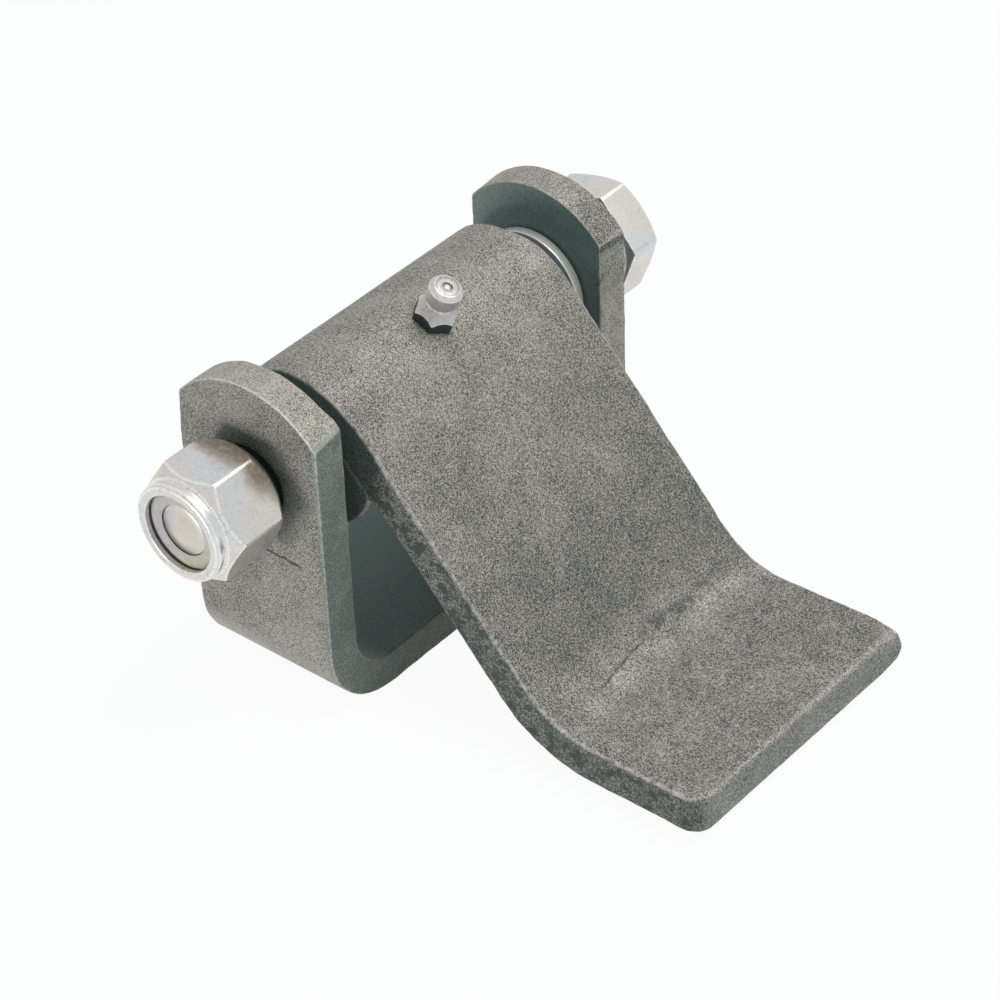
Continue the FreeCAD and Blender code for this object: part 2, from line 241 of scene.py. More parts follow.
def turned_ring(name, points, radii, axis, centre, body, sides=96, spin=0, cut_angle=50):
    """A turned piece with a bore. Its profile closes on itself, each corner rounded by its radius."""
    profile = profile_of([points[-1], *points, points[0]], sides)
    profile, edge = ease(profile, [0, *radii, 0])
    return swept_rows(name, profile[1:-1], edge[1:-1], axis, centre, body, spin, True, cut_angle)


def swept_rows(name, profile, edge, axis, centre, body, spin=0, ring=False, cut_angle=50):
    """Turns rows of (radius, distance), one value a side, about the axis and makes them one shell."""
    rows, sides = profile.shape[:2]
    turn = spin + 2 * np.pi * np.arange(sides) / sides
    flat = np.stack([profile[..., 0] * np.cos(turn), profile[..., 0] * np.sin(turn), profile[..., 1]], -1)
    lean = np.array(Vector((0, 0, 1)).rotation_difference(Vector(axis)).to_matrix())
    points = (flat @ lean.T + np.asarray(centre, float)).reshape(-1, 3)
    faces = grid_faces(rows + ring, sides, True) % (rows * sides)
    return shell(name, points, faces, {"edge": np.repeat(edge, sides)}, body, cut_angle)


def hexagon_radius(flats, sides, sharpness=150):
    """Distance to a hexagon's sides at each angle from a corner, the corners eased by a high power mean."""
    turn = 2 * np.pi * np.arange(sides) / sides
    near = [np.clip(np.cos(turn - math.pi / 6 - k * math.pi / 3), 0, None) ** sharpness for k in range(6)]
    return flats / 2 / np.sum(near, axis=0) ** (1 / sharpness)


# Bent plates: worked out flat as (along, across, through), then bent round their path

def raised(plan, level):
    """Points of a plan with their level through the plate."""
    return np.concatenate([plan, np.full(plan.shape[:-1] + (1,), level)], -1)


def rim_of(low, high, left, right):
    return np.vstack([low, right[1:], high[::-1][1:], left[::-1][1:-1]])


def nearest(values, goal):
    return int(np.argmin(np.abs(values - goal)))


def plate_shell(name, outline, half, edge, holes, place, body, ends, levels=4):
    """A plate with rounded edges. outline(inset) gives the four sides of the plan: low end, high end, left
    and right, as arrays of (along, across). The faces are Coons patches of those sides, the edges a quarter
    round carried along them, and each hole a ring of cells drawn in to a circle. place() bends the whole. The
    side mask is 1 on the long sides' walls and the given value on the ends'."""
    points, faces, edges, sides = [], [], [], []

    def add_block(block, block_faces, mask, side=0):
        faces.append(block_faces + sum(map(len, points)))
        points.append(block.reshape(-1, 3))
        edges.append(np.ravel(mask))
        sides.append(np.broadcast_to(np.ravel(side), (len(points[-1]),)))

    low, high, left, right = outline(edge)
    u = np.linspace(0, 1, len(left))[:, None, None]
    v = np.linspace(0, 1, len(low))[None, :, None]
    patch = ((1 - u) * low[None] + u * high[None] + (1 - v) * left[:, None] + v * right[:, None]
             - (1 - u) * (1 - v) * low[0] - (1 - u) * v * low[-1] - u * (1 - v) * high[0] - u * v * high[-1])
    rows, columns = patch.shape[:2]
    rim = rim_of(low, high, left, right)
    gap = np.min(np.linalg.norm(patch[:, :, None] - rim[None, None, ::2], axis=-1), axis=-1)
    wear = 0.6 * np.exp(-(gap / (0.6 * MM)) ** 2)
    cells = grid_faces(rows, columns, False)
    i, j = np.divmod(np.arange(len(cells)), columns - 1)
    keep = np.ones(len(cells), bool)
    rings = []
    for centre, radius in holes:
        reach = (-1.5 * radius, 1.5 * radius)
        i0, i1 = [nearest(patch[:, columns // 2, 0], centre[0] + r) for r in reach]
        j0, j1 = [nearest(patch[rows // 2, :, 1], centre[1] + r) for r in reach]
        keep &= ~((i >= i0) & (i < i1) & (j >= j0) & (j < j1))
        loop = ([(i0, c) for c in range(j0, j1)] + [(r, j1) for r in range(i0, i1)]
                + [(i1, c) for c in range(j1, j0, -1)] + [(r, j0) for r in range(i1, i0, -1)])
        outer = np.array([patch[spot] for spot in loop])
        arms = (outer - centre) / np.linalg.norm(outer - centre, axis=-1, keepdims=True)
        rings.append((outer, centre, arms, radius))
    for face in (half, -half):
        add_block(raised(patch, face), cells[keep], wear)
        for outer, centre, arms, radius in rings:
            share = np.linspace(0, 1, 6)[:, None, None]
            fan = outer * (1 - share) + (centre + arms * (radius + HOLE_CHAMFER)) * share
            lip_wear = np.repeat([0, 0, 0, 0, 0.2, 0.7], len(outer))
            add_block(raised(fan, face), grid_faces(6, len(outer), True), lip_wear)
    for outer, centre, arms, radius in rings:
        wall = half - HOLE_CHAMFER
        steps = ((HOLE_CHAMFER, half), (0, wall), (0, 0), (0, -wall), (HOLE_CHAMFER, -half))
        bore = np.stack([raised(centre + arms * (radius + grow), level) for grow, level in steps])
        add_block(bore, grid_faces(5, len(outer), True), np.repeat([0.7, 0.7, 0, 0.7, 0.7], len(outer)))
    turns = np.radians(np.linspace(0, 90, EDGE_STEPS + 1))
    walls = (half - edge) * np.linspace(1, -1, levels + 2)[1:-1]
    inset = edge * (1 - np.sin(turns))
    drop = half - edge * (1 - np.cos(turns))
    round_wear = 0.55 + 0.45 * np.sin(2 * turns)
    insets = np.concatenate([inset, 0 * walls, inset[::-1]])
    through = np.concatenate([drop, walls, -drop[::-1]])
    mask = np.concatenate([round_wear, 0 * walls, round_wear])
    wall = np.concatenate([np.sin(turns) ** 2, 0 * walls + 1, np.sin(turns[::-1]) ** 2])
    strips = [raised(rim_of(*outline(moved)), level) for moved, level in zip(insets, through)]
    share = np.repeat([ends, 1, ends, 1], [len(low), len(right) - 1, len(high) - 1, len(left) - 2])
    worn = np.where((share == ends) & (ends > 0), 0.4, 1)
    add_block(np.stack(strips), grid_faces(len(strips), len(share), True), mask[:, None] * worn,
              wall[:, None] * share)
    masks = {"edge": np.concatenate(edges), "side": np.concatenate(sides)}
    return shell(name, place(*np.vstack(points).T), np.vstack(faces), masks, body)


def spaced(start, end, coarse, fine):
    """Stations from start to end: steps grow from fine at both ends to coarse in the middle."""
    span = abs(end - start)
    steps = []
    at, step = 0, fine
    while at + step < span / 2:
        steps.append(at)
        at += step
        step = min(step * 1.35, coarse)
    if span / 2 - steps[-1] <= 0.4 * step:
        steps.pop()
    half = np.array(steps + [span / 2])
    whole = np.concatenate([half, span - half[::-1][1:]])
    return start + whole / span * (end - start)


def corner(centre, radius, start, end, steps=7):
    """Arc of a plan's corner about (along, across), from one angle to another in degrees."""
    turns = np.radians(np.linspace(start, end, steps))
    return np.stack([centre[0] + radius * np.sin(turns), centre[1] + radius * np.cos(turns)], -1)


def straight(stations, across):
    return np.stack([stations, np.full(len(stations), across)], -1)


def strap_outline(inset, half_width, tip, end, corners, tip_corner, stations, columns):
    """Plan of the flat strap, moved in by inset: straight sides, a small radius at the eye's tip, and at the
    pad's end one corner radius a side. Each side starts and ends half-way round its corners."""
    sides, tip_ends, pad_ends = [], [], []
    low = (tip + tip_corner, half_width - tip_corner)
    for side, radius in zip((-1, 1), corners):
        high = (end - radius, half_width - radius)
        arc_low = corner(low, tip_corner - inset, -45, 0)
        arc_high = corner(high, radius - inset, 0, 45)
        middle = straight(stations, half_width - inset)
        sides.append(np.vstack([arc_low[:-1], middle, arc_high[1:]]) * [1, side])
        tip_ends.append(corner(low, tip_corner - inset, -45, -90) * [1, side])
        pad_ends.append(corner(high, radius - inset, 45, 90) * [1, side])
    share = (columns[:, None] + 1) / 2
    low_end, high_end = [np.vstack([a[:-1], a[-1] * (1 - share) + b[-1] * share, b[::-1][1:]])
                         for a, b in (tip_ends, pad_ends)]
    return low_end, high_end, *sides


def smoothstep(value, low, high):
    t = np.clip((value - low) / (high - low), 0, 1)
    return t * t * (3 - 2 * t)


def bell(value, centre, width):
    """Bell curve of height 1 about the centre."""
    return np.exp(-((value - centre) / width) ** 2)


# The crease across the bend's top, as (place along the bolt, distance from it) in millimetres
CREASE = ((-31, 56.5), (-24, 56.8), (-18, 56.9), (-12, 56.3), (-7, 55.8), (-1, 55.55), (5, 55.95),
          (12.5, 56.25), (20, 56), (27, 55.83), (31, 56.3))
# How far the eye's two edges have drifted along the bolt in rolling, by the angle round the eye
DRIFT_ANGLE = (10, 30, 45, 58, 70, 82, 94, 140, 240, 360)
DRIFT_NEAR = (0, -0.2, -0.7, -1, -1.3, -1.4, -1.2, -0.8, -0.4, -0.2)
DRIFT_FAR = (0.2, 0.2, 0, -0.4, -0.9, -1.5, -1.8, -1.2, -0.6, -0.4)


def strap_path(plates):
    """Where the rolled tip, the bend, the pad and its end lie along the flat strap, measured from the eye's
    crown, and the bend's hub as (x, z) from the bolt."""
    slope, outer = plates.strap_slope, plates.eye_bore / 2 + plates.strap_thickness
    tip = -(outer - plates.strap_thickness / 2) * ROLL_ANGLE
    bend = plates.strap_run - plates.bend_radius * math.tan(slope / 2)
    pad = bend + (plates.bend_radius + plates.strap_thickness / 2) * slope
    reach = outer + plates.bend_radius
    hub = np.array([bend * math.cos(slope) + reach * math.sin(slope),
                    reach * math.cos(slope) - bend * math.sin(slope)])
    return tip, bend, pad, pad + PAD_END - hub[0], hub


def strap_place(along, across, through, plates):
    """Bends the flat strap: along runs from the rolled tip (negative, round the eye) through 0 at the eye's
    crown, down the run, round the bend's arc and out along the level pad."""
    tip, bend, pad, end, hub = strap_path(plates)
    slope, thick, bore = plates.strap_slope, plates.strap_thickness, plates.eye_bore / 2
    middle, arc = bore + thick / 2, plates.bend_radius + thick / 2
    radius, crown = middle + through, math.pi / 2 - slope
    # The tip closes flat on the run's underside, and inside that its end is cut square to the run
    seam, land = bore - 0.3 * MM, 5 * MM
    flat, square = np.arcsin(seam / np.maximum(radius, seam)), np.arccos(np.clip(land / radius, -1, 1))
    lift = np.where(radius >= math.hypot(seam, land), flat, square)
    round_eye = crown + along / tip * (2 * math.pi - slope + lift - crown)
    under = np.clip((np.degrees(round_eye) - 250) / 115, 0, 1)
    radius = radius + np.where(along < 0, 0.75 * MM * np.sin(np.pi * under) ** 2 * (through / thick + 0.5), 0)
    turn = math.pi * 1.5 - slope + (along - bend) / arc
    eye = radius * np.array([np.cos(round_eye), np.sin(round_eye)])
    run = (np.outer([math.cos(slope), -math.sin(slope)], along)
           + np.outer([math.sin(slope), math.cos(slope)], radius))
    bent = hub[:, None] + (arc - through) * np.array([np.cos(turn), np.sin(turn)])
    level = hub[:, None] + np.array([along - pad, through - arc])
    x, z = np.where(along < 0, eye, np.where(along < bend, run, np.where(along < pad, bent, level)))
    degrees = np.degrees(np.where(along < 0, round_eye, crown - along / middle))
    share = across / plates.strap_width + 0.5
    y = across + MM * (np.interp(degrees, DRIFT_ANGLE, DRIFT_NEAR) * (1 - share)
                       + np.interp(degrees, DRIFT_ANGLE, DRIFT_FAR) * share)
    # The pad is a little out of square, flares to its far side, and its far corner is bulged
    x = x + 0.016 * across * smoothstep(along, pad, pad + 20 * MM)
    flare = smoothstep(along, pad - 8 * MM, end - 4 * MM) * smoothstep(across, 0, plates.strap_width / 2)
    far_corner = bell(along, end, 3.4 * MM) * bell(across, plates.strap_width / 2, 3.4 * MM)
    bulge = far_corner * np.cos(np.pi * through / thick * 0.9)
    y = y + 0.7 * MM * flare + 0.6 * MM * bulge
    x = x + 0.9 * MM * bulge + 0.3 * MM * smoothstep(along, pad, end)
    z = z - 1.1 * MM * far_corner * np.sin(np.pi * through / thick)
    crease = np.interp(y / MM, *np.transpose(CREASE)) * MM
    z = z - 0.07 * MM * bell(x, crease, 0.5 * MM) * (through > 0.9 * thick / 2)
    return np.stack([x, y, z + PIVOT[2]], -1)


def ear_arch(half_width, shoulder, crown, ear_corner):
    """The arch through both shoulders and the crown of an ear: its hub and radius, and where the small radii
    at the shoulders have their centres."""
    rise = crown - shoulder
    arch = (half_width ** 2 + rise ** 2) / (2 * rise)
    across = half_width - ear_corner
    return crown - arch, arch, crown - arch + math.sqrt((arch - ear_corner) ** 2 - across ** 2), across


def bracket_outline(inset, half_width, arch_of_ear, ear_corner, stations, columns):
    """Plan of the flat bracket bar, moved in by inset: straight sides, and at each end an arch that meets the
    sides in a small radius."""
    hub, arch, along, across = arch_of_ear
    meet = math.degrees(math.atan2(along - hub, across))
    side = corner((along, across), ear_corner - inset, 0, meet / 2)
    top = corner((along, across), ear_corner - inset, meet, meet / 2)
    spans = np.radians(90 - (90 - meet) * columns)
    arc = np.stack([hub + (arch - inset) * np.sin(spans), (arch - inset) * np.cos(spans)], -1)
    high = np.vstack([(top * [1, -1])[::-1][:-1], arc, top[1:]])
    right = np.vstack([(side * [-1, 1])[::-1][:-1], straight(stations, half_width - inset), side[1:]])
    return high * [-1, 1], high, right * [1, -1], right


def bracket_path(plates):
    """The bar's radius in its bends, where a bend and an ear start along it, and how high an ear starts."""
    middle = plates.bracket_bend + plates.bracket_thickness / 2
    base = plates.ear_gap / 2 - plates.bracket_bend
    return middle, base, base + middle * math.pi / 2, plates.bracket_thickness + plates.bracket_bend


def bracket_place(along, across, through, plates):
    """Bends the flat bar to a U: a level base, a quarter turn at each side, and two upright ears."""
    middle, base, ear, floor = bracket_path(plates)
    run = np.abs(along)
    turn = np.clip((run - base) / middle, 0, math.pi / 2)
    y = np.minimum(run, base) + (middle + through) * np.sin(turn)
    z = floor - (middle + through) * np.cos(turn) + np.clip(run - ear, 0, None)
    rise = z - PIVOT[2]
    # The far ear narrows to its inner side, and the near ear has a shallow waist and one lifted shoulder
    near, inner_side = along < 0, 0.5 - through / plates.bracket_thickness
    x = across * (1 - 0.036 * inner_side * smoothstep(along, base, base + 30 * MM))
    x = x - near * 0.8 * MM * bell(rise, 1.5 * MM, 8 * MM) * smoothstep(-across, 0, 16 * MM)
    lifted = smoothstep(across, 10.5 * MM, 16 * MM) * smoothstep(rise, 6 * MM, 12 * MM)
    z = z + near * 1.4 * MM * inner_side * lifted
    return np.stack([x, np.where(near, -y, y), z], -1)


# Materials

SCALAR, VECTOR, TINT = "NodeSocketFloat", "NodeSocketVector", "NodeSocketColor"
OPEN_MARK = (0.035, 0.045, 0.042)
# Painted shade: on the bolt in the gap by the nut, and on the fitting's sides near its foot
BOLT_GAP_SHADE, FITTING_FOOT_SHADE = (0.03, 0.045, 0.042), (0.02, 0.045, 0.042)
# Painted shade tints for the shaded faces of the strap and the bracket
STRAP_SHADE_TINT, BRACKET_SHADE_TINT = (0.07, 0.105, 0.10), (0.235, 0.30, 0.28)
# The rubbed zinc colour also paints highlights along the plating's edges
ZINC_DIM, ZINC_RUB_AND_GLINT = (0.80, 0.80, 0.80), (0.97, 0.96, 0.94)
ZINC_COOL, ZINC_WARM = (0.97, 0.98, 1.06), (1.04, 0.99, 0.93)
# Painted darker top of the fitting's button, to tone down the lamp's reflection on it
BUTTON_TOP_PAINTED_DIM = (0.20, 0.195, 0.19)
AGED_NYLON = (0.62, 0.54, 0.43)


def is_socket(value):
    return isinstance(value, bpy.types.NodeSocket)


def add(tree, kind, inputs=None, **settings):
    """A node with its settings; each input is a socket to link or a value to store."""
    made = tree.nodes.new(kind)
    for key, value in settings.items():
        setattr(made, key, value)
    for key, value in (inputs or {}).items():
        if is_socket(value):
            tree.links.new(value, made.inputs[key])
        else:
            made.inputs[key].default_value = value
    return made


def tree_of(*values):
    """The node tree that the first socket among the values belongs to."""
    return next(filter(is_socket, values)).id_data


def maths(operation, *values, clamp=False):
    inputs = dict(enumerate(values))
    return add(tree_of(*values), "ShaderNodeMath", inputs, operation=operation, use_clamp=clamp).outputs[0]


def chained(operation):
    """A function that joins its values, from the first on, by one kind of Math node."""
    def join(first, *others, clamp=False):
        for other in others:
            first = maths(operation, first, other, clamp=clamp)
        return first
    return join


times, plus, minus, strongest = map(chained, ("MULTIPLY", "ADD", "SUBTRACT", "MAXIMUM"))


def blend(share, first, second, kind="MIX"):
    """Mixes two colours, each a socket or (red, green, blue)."""
    first, second = (v if is_socket(v) else (*v, 1) for v in (first, second))
    tree, inputs = tree_of(share, first, second), {0: share, 6: first, 7: second}
    return add(tree, "ShaderNodeMix", inputs, data_type="RGBA", blend_type=kind).outputs[2]


def spread(value, low, high, to_low=0, to_high=1, smooth=True):
    """Maps a value from one range to another, clamped, with eased ends."""
    return add(tree_of(value), "ShaderNodeMapRange", {0: value, 1: low, 2: high, 3: to_low, 4: to_high},
               interpolation_type="SMOOTHSTEP" if smooth else "LINEAR").outputs[0]


def noise(where, scale, detail, roughness, distortion=0):
    inputs = zip(("Vector", "Scale", "Detail", "Roughness", "Distortion"),
                 (where, scale, detail, roughness, distortion))
    return add(where.id_data, "ShaderNodeTexNoise", dict(inputs)).outputs["Fac"]


def mottle(where, scale, detail, roughness, *ranges):
    return spread(noise(where, scale, detail, roughness), *ranges)


def swing(place, scale, size):
    """Noise of the given scale that swings by the given size to both sides of nought."""
    return times(minus(noise(place, scale, 4, 0.7), 0.5), 2 * size)


def mapped(where, **inputs):
    return add(where.id_data, "ShaderNodeMapping", {"Vector": where, **inputs}).outputs[0]


def mask(place, name):
    return add(place.id_data, "ShaderNodeAttribute", attribute_name=name).outputs["Fac"]


def measured(place):
    """Fields that zone() can use: the place along x, y and z."""
    return dict(zip("xyz", add(place.id_data, "ShaderNodeSeparateXYZ", {0: place}).outputs))


def zone(fields, *bands):
    """Product of masks. Each band is (field, low, high) in millimetres, eased from 0 at low to 1 at high, and
    may go on with other values at low and at high."""
    return times(*(spread(fields[name], low * MM, high * MM, *ends) for name, low, high, *ends in bands))


def curved(value, low, high, points, bottom, top):
    """Value of a curve through points, whose ends and heights are given in millimetres."""
    share = spread(value, low * MM, high * MM, smooth=False)
    made = add(tree_of(value), "ShaderNodeFloatCurve", {"Value": share})
    curve = made.mapping.curves[0]
    for n, (at, height) in enumerate(points):
        spot = ((at - low) / (high - low), (height - bottom) / (top - bottom))
        if n < 2:
            curve.points[n].location = spot
        else:
            curve.points.new(*spot)
    made.mapping.update()
    return spread(made.outputs[0], 0, 1, bottom * MM, top * MM, smooth=False)


def group(name, inputs, build):
    """A shader node group with a colour, a roughness and a height. Inputs are (name, kind, default), and
    build makes what the outputs carry from what the inputs bring."""
    if name in bpy.data.node_groups:
        return bpy.data.node_groups[name]
    tree = bpy.data.node_groups.new(name, "ShaderNodeTree")
    for title, kind, value in inputs:
        socket = tree.interface.new_socket(title, in_out="INPUT", socket_type=kind)
        if value is not None:
            socket.default_value = value
    for title, kind in (("Colour", TINT), ("Roughness", SCALAR), ("Height", SCALAR)):
        tree.interface.new_socket(title, in_out="OUTPUT", socket_type=kind)
    source = tree.nodes.new("NodeGroupInput")
    add(tree, "NodeGroupOutput", dict(zip(("Colour", "Roughness", "Height"), build(source.outputs))))
    return tree


def mill_grain_group():
    """Bare steel as it leaves the mill: grains of two sizes, patches, and rubbed edges."""
    def build(given):
        where = given["Place"]
        speck = noise(where, 4200, 2, 0.7)
        coarse = noise(where, 2000, 2, 0.6)
        larger = times(spread(coarse, 0.38, 0.62), 0.24)
        mixed = maths("MULTIPLY_ADD", spread(speck, 0.37, 0.63), 0.78, larger)
        clouds, patches = noise(where, 60, 4, 0.6, 0.3), noise(where, 210, 3, 0.55, 0.5)
        for field, share in ((clouds, 1), (patches, 0.7)):
            sway = minus(spread(field, 0.3, 0.7), 0.5)
            mixed = maths("MULTIPLY_ADD", times(sway, share), given["Patches"], mixed)
        tone = blend(plus(mixed, given["Lift"], clamp=True), given["Dark"], given["Pale"])
        rub_and_glint = maths("MULTIPLY_ADD", noise(where, 800, 5, 0.8), 1.5, given["Edge"])
        rub_and_glint = times(spread(rub_and_glint, 1.42, 2), given["Wear"], clamp=True)
        rough = minus(spread(speck, 0.3, 0.7, 0.66, 0.5), times(rub_and_glint, 0.14))
        return blend(rub_and_glint, tone, given["Rubbed"]), rough, maths("MULTIPLY_ADD", speck, 0.5, times(coarse, 0.5))

    return group("Mill steel grain",
                 [("Place", VECTOR, None), ("Edge", SCALAR, 0), ("Wear", SCALAR, 1),
                  ("Patches", SCALAR, 0.3), ("Lift", SCALAR, 0), ("Dark", TINT, (0.1, 0.1, 0.1, 1)),
                  ("Pale", TINT, (0.4, 0.4, 0.4, 1)), ("Rubbed", TINT, (0.6, 0.6, 0.6, 1))], build)


def zinc_group():
    """Zinc plating: soft clouds in tone, fine turning lines along one direction, edges rubbed brighter and
    painted with highlights.
    """
    def build(given):
        where = given["Place"]
        cloud = noise(where, 190, 3, 0.55, 0.4)
        fine = noise(where, 1400, 3, 0.6)
        lines = noise(mapped(where, Scale=given["Lines"]), 900, 2, 0.6)
        shade = maths("MULTIPLY_ADD", spread(cloud, 0.3, 0.7), 0.5, times(spread(lines, 0.3, 0.7), 0.35))
        tone = blend(shade, blend(1, given["Zinc"], ZINC_DIM, "MULTIPLY"), given["Zinc"])
        film = blend(mottle(where, 85, 1, 0.4, 0.42, 0.58), ZINC_COOL, ZINC_WARM)
        # Edges rubbed bright, also painted as highlights
        rub_and_glint = times(spread(given["Edge"], 0.2, 0.8), spread(fine, 0.3, 0.5), clamp=True)
        rough = minus(spread(cloud, 0.3, 0.7, 0.33, 0.24), times(rub_and_glint, 0.08))
        tone = blend(times(rub_and_glint, 0.65), blend(1, tone, film, "MULTIPLY"), ZINC_RUB_AND_GLINT)
        return tone, rough, maths("MULTIPLY_ADD", lines, 0.6, times(fine, 0.4))

    return group("Zinc plating",
                 [("Place", VECTOR, None), ("Edge", SCALAR, 0), ("Lines", VECTOR, (1, 1, 1)),
                  ("Zinc", TINT, (0.7, 0.7, 0.7, 1))], build)


def started(name):
    """A material with its shader and Object coordinates."""
    material = bpy.data.materials.new(name)
    material.use_nodes = True
    tree = material.node_tree
    return material, tree.nodes["Principled BSDF"], tree.nodes.new("ShaderNodeTexCoord").outputs["Object"]


def coat(shader, tone, rough, metal, height=None, depth=0, strength=0):
    """Links a colour and a roughness to the shader, and raises its surface by the height times the depth."""
    tree = shader.id_data
    tree.links.new(tone, shader.inputs["Base Color"])
    tree.links.new(rough, shader.inputs["Roughness"])
    shader.inputs["Metallic"].default_value = metal
    if height is not None:
        relief = add(tree, "ShaderNodeBump", {"Height": height, "Distance": depth, "Strength": strength})
        tree.links.new(relief.outputs["Normal"], shader.inputs["Normal"])


def steel_material(name, colours, marks, shade_tint, patches, wear, sides, scale, cool):
    """Bare mill steel, darker by the share sides on the side walls, with flakes of dark scale there, and
    painted shade in the shade tint there by the share cool. marks(place) gives a mask of dark marks, one of
    pale ones, how much lighter the grain is from place to place (in some places painted light), a mask of
    painted shade in the shade tint, and how much more the edges are rubbed."""
    material, shader, place = started(name)
    dark, pale, lift, shaded, worn = marks(place)
    side = mask(place, "side")
    flakes = times(mottle(place, 330, 4, 0.6, 0.50, 0.58, 0, scale), side,
                   spread(shaded, 0, 0.8, 1, 0), side)
    dark = strongest(dark, flakes)
    grain = add(place.id_data, "ShaderNodeGroup", {
        "Place": place, "Edge": mask(place, "edge"), "Lift": minus(lift, times(side, sides)),
        "Wear": times(worn, wear), "Patches": patches, "Dark": (*colours.steel_dark, 1),
        "Pale": (*colours.steel_pale, 1), "Rubbed": (*colours.steel_edge, 1)}, node_tree=mill_grain_group())
    tone, rough, height = grain.outputs
    # Painted shade: the shaded faces, and the side walls by the share cool, turn to the shade tint
    tone = blend(strongest(shaded, times(side, cool)), tone, shade_tint)
    tone = blend(dark, blend(pale, tone, colours.steel_edge), OPEN_MARK)
    shader.inputs["Specular IOR Level"].default_value = 0.3
    coat(shader, tone, rough, 0.1, minus(height, times(dark, 1.2)), 0.00006, 0.7)
    return material


def strap_marks(place):
    """The crease across the bend: a thin broken dark line, darker patches before it and pale grains past it.
    The lower run is darker, the pad's end face is painted paler as if lit from the floor, and the eye's side
    walls get painted shade."""
    at = measured(place)
    line = curved(at["y"], -31, 31, CREASE, 54, 59)
    at["past"] = plus(minus(at["x"], line), swing(place, 420, 0.7 * MM))
    at["gap"] = maths("ABSOLUTE", at["past"])
    top = zone(at, ("z", 8.5, 10))
    seen = zone(at, ("y", -21, -15), ("y", -6, 2, 1, 0.15))
    broken = mottle(place, 500, 3, 0.6, 0.38, 0.55, 0.2, 0.85)
    thin = times(zone(at, ("gap", 0.05, 0.35, 1, 0)), broken, seen)
    before = zone(at, ("past", -3, -1.4), ("past", -0.3, 0.2, 1, 0), ("y", -5, 1),
                  ("y", 14, 22, 1, 0.35))
    blots = times(mottle(place, 260, 2, 0.5, 0.40, 0.54),
                  mottle(place, 1900, 2, 0.6, 0.38, 0.52, 0.45, 1))
    dark = times(strongest(thin, times(before, blots, 0.8)), top)
    band = strongest(zone(at, ("past", 0.1, 0.8), ("past", 1.6, 7, 1, 0)),
                     zone(at, ("past", 0.5, 3, 0, 0.3)))
    spots = times(mottle(place, 210, 3, 0.6, 0.34, 0.62), mottle(place, 2600, 2, 0.7, 0.54, 0.60))
    end = PAD_END / MM
    lift = maths("MULTIPLY_ADD", zone(at, ("x", 55, 59)), 0.06, zone(at, ("x", 2, 52, -0.05, -0.22)))
    # Painted light: the pad's end face is made paler, as if lit from the floor
    lift = maths("MULTIPLY_ADD", zone(at, ("x", end - 1.2, end - 0.4)), 0.22, lift)
    # Painted shade on the strap's side walls near the eye
    shaded = times(spread(mask(place, "side"), 0.5, 0.95, 0, 0.75),
                   zone(at, ("x", 10, 22, 1, 0), ("z", 20, 30)))
    return dark, times(band, spots, top, 0.75), lift, shaded, zone(at, ("x", 40, 60, 1, 1.15))


# The crack on the near ear's outer face, as (distance across the ear, height above the bolt) in millimetres
CRACK = ((0, -15.2), (3, -14.2), (5.4, -14.4), (6.6, -14.1), (7.8, -14.5), (9.5, -14.35), (10.2, -14.7),
         (10.6, -15.7))


def bracket_marks(place):
    """The hairline crack on the near ear's outer face. The far ear's front and the near ear's upper front are
    paler, the open base is painted paler where light falls on it, the shoulders darker, and the inner faces
    and the fronts short of the far ear get painted shade."""
    at = measured(place)
    bolt = PIVOT[2] / MM
    line = curved(at["x"], 0, 10.6, [(across, bolt + up) for across, up in CRACK], bolt - 16.5, bolt - 13.5)
    at["gap"] = maths("ABSOLUTE", plus(minus(at["z"], line), swing(place, 900, 0.2 * MM)))
    at["out"] = maths("ABSOLUTE", at["y"])
    dark = zone(at, ("gap", 0.12, 0.4, 1, 0), ("x", -0.4, 0.4), ("x", 10.4, 10.9, 1, 0),
                ("y", -43.8, -43.4, 1, 0))
    pale = times(mottle(place, 1700, 4, 0.7, 0.60, 0.68), 0.5)
    front = ("x", 15, 15.7)
    lift = plus(zone(at, front, ("y", 30, 36), ("z", 40, 56, 0.5, 0.25)),
                # Painted light: the open base's top is paler towards the back, where light falls on it
                zone(at, ("x", -14, 8, 0.6, 0), ("z", 6.4, 6.8), ("z", 7.2, 14, 1, 0)),
                zone(at, front, ("z", 35, 60, -0.08, 0.16), ("y", -30, -36)),
                zone(at, ("x", 2, 12), ("z", 59.5, 61.5), ("y", -20, 20, -0.12, -0.32)),
                zone(at, ("z", 4, 30, 0.12, -0.04)))
    # Painted shade on the inner faces, and on the fronts short of the far ear
    inner = zone(at, ("out", 37, 37.15, 0.7, 0), ("z", 6.6, 7))
    shaded = strongest(times(inner, spread(zone(at, front), 0, 0.5, 1, 0)),
                       zone(at, front, ("y", 30, 36, 0.3, 0)))
    arch = zone(at, ("y", -43.4, -43.1, 1, 0), ("z", 54, 60))
    return dark, pale, lift, shaded, maths("MULTIPLY_ADD", arch, zone(at, ("x", -10, 10, 1, 2.4)), 1)


